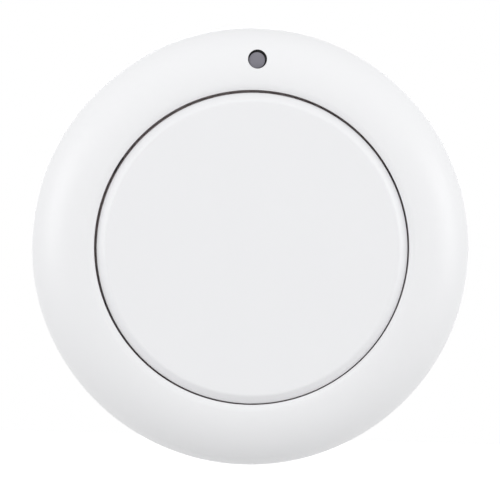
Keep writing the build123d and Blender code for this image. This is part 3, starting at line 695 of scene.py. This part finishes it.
# Return springs: three coils of spring wire between the chassis and the cap, with closed ends
# ground flat. The cap shortens them when it is pressed.
SPRING_CIRCLE_R, SPRING_ANGLES = 24.0, (90, 210, 330)
COIL_R, WIRE_R, SEAT_Z, CAP_UNDER = 2.175, 0.225, 6.4, 13.2
COIL_TOP = CAP_UNDER - 0.02
GROUND = 0.06                       # how far the middle of the end wire lies inside the ground face
TURN_STEPS, ACTIVE_TURNS = 28, 4
spring_steps = (
    (TURN_STEPS, 2 * WIRE_R), (ACTIVE_TURNS * TURN_STEPS, None), (TURN_STEPS, 2 * WIRE_R),
)
coil_rise = COIL_TOP - SEAT_Z - 2 * GROUND
active_pitch = (coil_rise - 2 * 2 * WIRE_R) / ACTIVE_TURNS
for number, angle in enumerate(SPRING_ANGLES, 1):
    bm = bmesh.new()
    ring = bmesh.ops.create_circle(bm, cap_ends=True, segments=10, radius=WIRE_R)["verts"]
    bmesh.ops.rotate(bm, verts=ring, cent=(0, 0, 0), matrix=Matrix.Rotation(pi / 2, 3, "X"))
    bmesh.ops.translate(bm, verts=ring, vec=(COIL_R, 0, SEAT_Z + GROUND))
    last = bm.faces[:] + bm.edges[:] + bm.verts[:]
    for steps, pitch in spring_steps:
        last = bmesh.ops.spin(
            bm, geom=last, cent=(0, 0, 0), axis=(0, 0, 1), angle=tau * steps / TURN_STEPS,
            steps=steps, dvec=(0, 0, (pitch or active_pitch) / TURN_STEPS),
        )["geom_last"]
    for height, way in ((SEAT_Z, -1), (COIL_TOP, 1)):
        cut = bmesh.ops.bisect_plane(
            bm, geom=bm.verts[:] + bm.edges[:] + bm.faces[:], dist=1e-5,
            plane_co=(0, 0, height), plane_no=(0, 0, way), clear_outer=True,
        )["geom_cut"]
        opened = [e for e in cut if isinstance(e, bmesh.types.BMEdge)]
        bmesh.ops.holes_fill(bm, edges=opened, sides=0)
    place = (SPRING_CIRCLE_R * cos(radians(angle)), SPRING_CIRCLE_R * sin(radians(angle)), 0)
    bmesh.ops.translate(bm, verts=bm.verts, vec=place)
    coil = piece_of(
        bm, f"cap_spring_{number}", "front", spring_steel,
        [f"return_spring_{number}"], 40,
    )
    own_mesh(coil)

# Push cap: white ABS, its face a very shallow dish inside a bevel, with a catch flange round
# its foot, ribs and a centre boss below, and three pins that centre the return springs.
CAP_AT = Vector((0.11, -0.15, 0.0))
CAP_TOP, CAP_FACE_R, CAP_R = 15.25, 28.8, 30.37
CAP_DISH, BEVEL_DROP = 0.25, 1.26
FLANGE_R, FLANGE_Z = 32.15, (7.6, 8.9)
CAP_INNER_R, PAD_TOP, RIB_Z = 28.85, 12.6, (12.7, 13.7)
BOSS_R, HUB_R, PIN_R, PIN_Z = 4.5, (5.5, 6.5), 1.7, 11.6
CAP_RIB_WIDE, SPRING_CLEAR_R = 1.0, 2.8
FACE_ROUND, FOOT_ROUND, FACE_LINE = 0.3, 0.05, 0.4
KEY_ANGLES, KEY_NOTCH = (30, 150, 270), 3.6
bevel_z = CAP_TOP - BEVEL_DROP
BEVEL_FOOT_R = CAP_R - 0.05


def spoke(inner, outer, wide, low, high, angle):
    """A straight radial block."""
    part = bmesh.new()
    placed(part, slab((inner, -wide / 2, low), (outer, wide / 2, high)), angle)
    return part


def upright_rod(radius, low, high, place=(0, 0), steps=48):
    """An upright round rod."""
    part = bmesh.new()
    bmesh.ops.create_cone(
        part, segments=steps, radius1=radius, radius2=radius, depth=high - low, cap_ends=True,
    )
    bmesh.ops.translate(part, verts=part.verts, vec=(*place, (low + high) / 2))
    return part


def several(parts):
    """Loose solids as one mesh."""
    bm = bmesh.new()
    for part in parts:
        placed(bm, part)
    return bm


def polar(radius, angle):
    """Point on a circle round the middle, angle in degrees."""
    return radius * cos(radians(angle)), radius * sin(radians(angle))


shares = [step / 12 for step in range(12)]
shares += [1 - FACE_LINE / CAP_FACE_R, 1]      # a line close to the rim keeps it crisp
outline = [(CAP_FACE_R * share, CAP_TOP - CAP_DISH * (1 - share ** 2)) for share in shares]
outline += [
    (CAP_FACE_R + (BEVEL_FOOT_R - CAP_FACE_R) * share, CAP_TOP - BEVEL_DROP * share)
    for share in (0.2, 0.94)
]
outline += [
    (BEVEL_FOOT_R, bevel_z), (CAP_R, bevel_z - 0.3), (CAP_R, FLANGE_Z[1]), (FLANGE_R, FLANGE_Z[1]),
    (FLANGE_R, FLANGE_Z[0]), (CAP_INNER_R, FLANGE_Z[0]), (CAP_INNER_R, CAP_UNDER), (0, CAP_UNDER),
]
bm = turned(outline, 256, closed=False)
for r, z, size in ((CAP_FACE_R, CAP_TOP, FACE_ROUND), (BEVEL_FOOT_R, bevel_z, FOOT_ROUND)):
    loop = [
        line for line in bm.edges
        if all(abs(v.co.z - z) < 1e-3 and abs(v.co.xy.length - r) < 1e-3 for v in line.verts)
    ]
    softened(bm, loop, size, 4)
bmesh.ops.translate(bm, verts=bm.verts, vec=CAP_AT)
# The walls of the gap round the cap are darkened with painted shade.
cap_gap_shade = (CAP_AT.xy, (CAP_R - 0.02, FLANGE_R + 0.1), bevel_z - 0.25)
cap_white = moulded("cap_white", (0.85, 0.853, 0.868), 0.4, 0.35, 0.004, cap_gap_shade)
cap = piece_of(bm, "cap_shell", "cap", cap_white, ["push_cap"])
spring_places = [polar(SPRING_CIRCLE_R, angle) for angle in SPRING_ANGLES]
stiffeners = [
    spoke(HUB_R[0] + 0.5, CAP_INNER_R + 0.5, CAP_RIB_WIDE, *RIB_Z, angle)
    for angle in range(0, 360, 30)
]
hub = turned([
    (HUB_R[0], RIB_Z[0]), (HUB_R[1], RIB_Z[0]), (HUB_R[1], RIB_Z[1]), (HUB_R[0], RIB_Z[1]),
], 64)
clearances = [upright_rod(SPRING_CLEAR_R, 10, CAP_UNDER, place) for place in spring_places]
pins = [upright_rod(PIN_R, PIN_Z, RIB_Z[1], place, 40) for place in spring_places]
notches = [
    spoke(CAP_R + 0.25, FLANGE_R + 1, KEY_NOTCH, 5, FLANGE_Z[1] + 0.05, angle)
    for angle in KEY_ANGLES
]
cap_steps = [("UNION", part) for part in stiffeners] + [("UNION", hub)]
cap_steps += [("DIFFERENCE", several(clearances)), ("UNION", several(pins))]
cap_steps += [("UNION", upright_rod(BOSS_R, PAD_TOP, RIB_Z[1])), ("DIFFERENCE", several(notches))]
for _, part in cap_steps:
    bmesh.ops.translate(part, verts=part.verts, vec=CAP_AT)
worked(cap, *cap_steps)

# Pusher pad: soft grey silicone, moulded, that is stuck under the cap's centre boss and lies
# on the plunger.
pad_low, pad_high = on_bench("pusher_pad")
pad_r = (pad_high.x - pad_low.x) / 2
soft_pad = [(0, pad_low.z), (pad_r - 0.15, pad_low.z)]
soft_pad += arc((pad_r - 0.15, pad_low.z + 0.15), (0.15, 0.15), -90, 0, 4)
bm = turned([*soft_pad, (pad_r, pad_high.z), (0, pad_high.z)], 64, closed=False)
bmesh.ops.translate(bm, verts=bm.verts, vec=CAP_AT)
silicone = moulded("silicone", (0.6, 0.6, 0.6), 0.65, 0.3, 0.01)
piece_of(bm, "soft_pusher", "cap", silicone, ["pusher_pad"])

# Bezel ring: the white ABS shell seen all round, a quarter-ellipse dome on a short skirt, with
# a rolled lip at the bore, screw bosses and stiffening ribs under it, and the indicator hole.
RING_R, BORE_R, CREST_R = 43.0, 30.75, 32.25
CREST_Z, DOME_BASE_Z, SKIRT_Z, LIP_Z, RING_RIB_Z = 15.0, 5.0, 1.0, 9.0, 8.5
SHELL, LIP_DROP, LIP_END, LIP_WALL, SKIRT_EDGE, RIM_EDGE = 2.0, 0.6, 150, 2.0, 0.4, 0.12
WINDOW_R, WINDOW_UP = 1.86, 36.77
NOTCH_WIDE, NOTCH_HIGH = 9.0, 1.1
BOSS_CIRCLE_R, BOSS_ANGLES, RING_BOSS_R, BOSS_Z = 36.0, (45, 135, 225, 315), 2.5, (6.0, 13.05)
PILOT_R, PILOT_TOP = 1.0, 11.55
RIB_INSET, RIB_STEP, RING_RIB_WIDE = 1.6, 22.5, 1.0
dome_wide, dome_high = RING_R - CREST_R, CREST_Z - DOME_BASE_Z
inner_wide, inner_high = dome_wide - SHELL, dome_high - SHELL
lip_out = BORE_R + LIP_WALL
inner_start = (lip_out - CREST_R) / inner_wide

outline = [(RING_R - SKIRT_EDGE, SKIRT_Z)]
outline += arc((RING_R - SKIRT_EDGE, SKIRT_Z + SKIRT_EDGE), (SKIRT_EDGE, SKIRT_EDGE), -90, 0, 5)
outline += [(RING_R, DOME_BASE_Z)]
outline += arc((CREST_R, DOME_BASE_Z), (dome_wide, dome_high), 0, 90, 40)
lip_radii = ((CREST_R - BORE_R) / -cos(radians(LIP_END)), LIP_DROP / (1 - sin(radians(LIP_END))))
outline += arc((CREST_R, CREST_Z - lip_radii[1]), lip_radii, 90, LIP_END, 10)
outline += [(BORE_R, LIP_Z), (lip_out, LIP_Z)]
outline += [(lip_out, DOME_BASE_Z + inner_high * sqrt(1 - inner_start ** 2))]
outline += arc((CREST_R, DOME_BASE_Z), (inner_wide, inner_high), 90 - inner_start * 180 / pi, 0, 16)
outline += [(RING_R - SHELL, SKIRT_Z)]
# The bore wall facing the cap is darkened with painted shade down the gap.
ring_gap_shade = ((0, 0), (0, BORE_R + 0.02), CREST_Z - LIP_DROP - 0.15)
case_white = moulded("case_white", (0.852, 0.855, 0.868), 0.36, 0.35, 0.004, ring_gap_shade)
bezel = piece_of(turned(outline, 320), "bezel_ring", "front", case_white, ["front_ring"])

rib_wide, rib_high = dome_wide - RIB_INSET, dome_high - RIB_INSET
rib_end = CREST_R + rib_wide * sqrt(1 - ((RING_RIB_Z - DOME_BASE_Z) / rib_high) ** 2)
rib_top = arc((CREST_R, DOME_BASE_Z), (rib_wide, rib_high), 0, 88, 22)
ribs = []
for step in range(round(360 / RIB_STEP)):
    angle = step * RIB_STEP
    if angle == 90 or angle in BOSS_ANGLES:
        continue
    rib = bent([
        (lip_out + 0.05, RING_RIB_Z), (rib_end, RING_RIB_Z),
        *[(r, z) for r, z in rib_top if z > RING_RIB_Z + 0.05],
        (lip_out - 0.4, LIP_Z + 0.3), (lip_out + 0.05, LIP_Z + 0.3),
    ], RING_RIB_WIDE)
    turned_rib = bmesh.new()
    placed(turned_rib, rib, angle)
    ribs.append(turned_rib)
boss_places = [polar(BOSS_CIRCLE_R, angle) for angle in BOSS_ANGLES]
bosses = [upright_rod(RING_BOSS_R, *BOSS_Z, place) for place in boss_places]
pilots = [upright_rod(PILOT_R, BOSS_Z[0] - 1, PILOT_TOP, place, 32) for place in boss_places]
relief = upright_rod(SLEEVE_R + 0.15, DOME_BASE_Z, sleeve_high.z + 0.05, GUIDE_AT.xy, 64)
window = upright_rod(WINDOW_R, DOME_BASE_Z + 0.5, CREST_Z + 1, (0, WINDOW_UP), 96)
notch = slab(
    (-NOTCH_WIDE / 2, -RING_R - 1, 0), (NOTCH_WIDE / 2, -RING_R + SHELL + 1, SKIRT_Z + NOTCH_HIGH),
)
worked(
    bezel, ("UNION", several(ribs)), ("UNION", several(bosses)), ("DIFFERENCE", several(pilots)),
    ("DIFFERENCE", relief), ("DIFFERENCE", window), ("DIFFERENCE", notch),
)
bm = bmesh.new()
bm.from_mesh(bezel.data)
axis_x, axis_z, window_r = 0.0, WINDOW_UP / 1000, WINDOW_R / 1000


def on_window(vert):
    """Whether a point lies on the wall of the indicator hole."""
    return abs(Vector((vert.co.x - axis_x, vert.co.z - axis_z)).length - window_r) < 3e-6


mouth = [
    line for line in bm.edges
    if all(on_window(v) for v in line.verts) and line.calc_face_angle(0.0) > radians(30)
    and max(-face.normal.y for face in line.link_faces) > 0.7
]
softened(bm, mouth, RIM_EDGE / 1000, 3)
bm.to_mesh(bezel.data)
bm.free()
bezel.data.set_sharp_from_angle(angle=radians(32))

# Screws: four self-tapping screws that hold the chassis to the ring's bosses and two short ones
# on the board, zinc-plated steel with a cross recess.
THREAD_PITCH, THREAD_DEPTH = 0.55, 0.16
SLOT_HALF = 0.22                    # half the width of the cross's arms
CHASSIS_SEAT_Z = 4.45


def cross_screw(head_r, head_high, shank_r, long, slot_deep):
    """One screw, head down on height 0 and point up, on the bench."""
    outline = [(0, -head_high), (head_r * 0.62, -head_high)]
    outline += arc((head_r * 0.62, -head_high * 0.45), (head_r * 0.38, head_high * 0.55), -90, 0, 7)
    outline += [(head_r, 0), (shank_r, 0), (shank_r, 0.3)]
    height = 0.3
    while height + THREAD_PITCH < long - 1.2:
        outline += [
            (shank_r - THREAD_DEPTH, height + THREAD_PITCH * 0.5), (shank_r, height + THREAD_PITCH),
        ]
        height += THREAD_PITCH
    outline += [(shank_r * 0.35, long - 0.1), (0, long)]
    screw = piece_of(turned(outline, 40, closed=False), "screw", "front", plated)
    arms = []
    for x, y in ((head_r * 0.6, SLOT_HALF), (SLOT_HALF, head_r * 0.6)):
        arms.append(slab((-x, -y, -head_high - 1), (x, y, slot_deep - head_high)))
    worked(screw, *[("DIFFERENCE", arm) for arm in arms])
    return screw


def screw_group(name, pattern, places, upside_down, replaced):
    """Copies a screw to its places as one piece, and takes the pattern away."""
    bm = bmesh.new()
    for place in places:
        part = bmesh.new()
        part.from_mesh(pattern.data)
        bmesh.ops.transform(part, matrix=STAND.inverted(), verts=part.verts)
        if upside_down:
            over = Matrix.Rotation(pi, 3, "X")
            bmesh.ops.rotate(part, verts=part.verts, cent=(0, 0, 0), matrix=over)
        placed(bm, part, 0, place)
    bpy.data.objects.remove(pattern)
    piece_of(bm, name, "front", plated, replaced)


chassis_screw = cross_screw(2.0, 1.5, 0.98, 6.5, 0.55)
chassis_places = [(*place, CHASSIS_SEAT_Z) for place in boss_places]
screw_group("carrier_screws", chassis_screw, chassis_places, False, ["chassis_screws"])
board_screw = cross_screw(1.9, 1.2, 0.88, 3.3, 0.5)
board_places = [(*place, BOARD_Z) for place in SCREW_RING_AT]
screw_group("board_fixings", board_screw, board_places, True, ["board_screws"])

# Studio: an even pale room, brighter towards the camera, with a soft lamp at each side and two
# behind for the other views, and a pale floor some way under the part.
world = bpy.data.worlds.new("room")
scene.world = world
world.use_nodes = True
world.node_tree.nodes.clear()
room = Wire(world.node_tree)
ROOM_LEVEL, ROOM_RISE, ROOM_FRONT = 0.785, 0.05, 0.385
WHITE = (1.0, 1.0, 1.0, 1.0)


def unlit_rays(net):
    """Whether a ray shows the background instead of lighting something by it."""
    kinds = ("Camera", "Glossy", "Transmission")
    rays = [net.node("ShaderNodeLightPath", output=f"Is {kind} Ray") for kind in kinds]
    return (rays[0] + rays[1] + rays[2]) > 0.5


direction = room.node("ShaderNodeTexCoord", output="Generated")
front_part = room.node("ShaderNodeSeparateXYZ", None, {0: direction}, output=1)
up_part = room.node("ShaderNodeSeparateXYZ", None, {0: direction}, output=2)
level = ROOM_LEVEL + ROOM_RISE * up_part - ROOM_FRONT * front_part
glow = room.node("ShaderNodeBackground", None, {"Color": WHITE, "Strength": level})
white = room.node("ShaderNodeBackground", None, {"Color": WHITE, "Strength": 1.0})
sky = room.node("ShaderNodeMixShader", None, {0: unlit_rays(room), 1: glow, 2: white})
room.node("ShaderNodeOutputWorld", None, {"Surface": sky})

LAMP_OFF = 1.1
LAMPS = (       # name, degrees off the front, degrees round from the top, watts, side in metres
    ("lamp_left", 72, -82, 2.5, 0.7),
    ("lamp_right", 72, 82, 2.6, 0.7),
    ("lamp_back_left", 166, -40, 2.0, 0.5),
    ("lamp_back_right", 170, 60, 1.7, 0.6),
)
for name, off, clock, watts, side in LAMPS:
    light = bpy.data.lights.new(name, "AREA")
    light.shape = "SQUARE"
    light.size = side
    light.energy = watts
    lamp = bpy.data.objects.new(name, light)
    scene.collection.objects.link(lamp)
    off, clock = radians(off), radians(clock)
    lamp.location = LAMP_OFF * Vector((sin(off) * sin(clock), -cos(off), sin(off) * cos(clock)))
    lamp.rotation_mode = "QUATERNION"
    lamp.rotation_quaternion = (-lamp.location).to_track_quat("-Z", "Y")

FLOOR_Z, FLOOR_HALF, FLOOR_COLOUR = -0.075, 0.6, (0.7, 0.7, 0.7, 1.0)
SHOWN_COLOUR, SHOWN_GLOW = (0.5, 0.5, 0.5, 1.0), 0.6       # as the camera sees it, still shaded
ground = bmesh.new()
bmesh.ops.create_grid(ground, x_segments=1, y_segments=1, size=FLOOR_HALF)
bmesh.ops.translate(ground, verts=ground.verts, vec=(0.0, 0.0, FLOOR_Z))
mesh = bpy.data.meshes.new("floor")
ground.to_mesh(mesh)
ground.free()
floor = bpy.data.objects.new("floor", mesh)
scene.collection.objects.link(floor)
paper, paper_material = blank("floor_paper")
dull = paper.node("ShaderNodeBsdfDiffuse", None, {"Color": FLOOR_COLOUR})
half = paper.node("ShaderNodeBsdfDiffuse", None, {"Color": SHOWN_COLOUR})
own = paper.node("ShaderNodeEmission", None, {"Color": WHITE, "Strength": SHOWN_GLOW})
pale = paper.node("ShaderNodeAddShader", None, {0: half, 1: own})
shown = paper.node("ShaderNodeMixShader", None, {0: unlit_rays(paper), 1: dull, 2: pale})
paper.node("ShaderNodeOutputMaterial", None, {"Surface": shown})
mesh.materials.append(paper_material)

scene.view_settings.view_transform = "Standard"
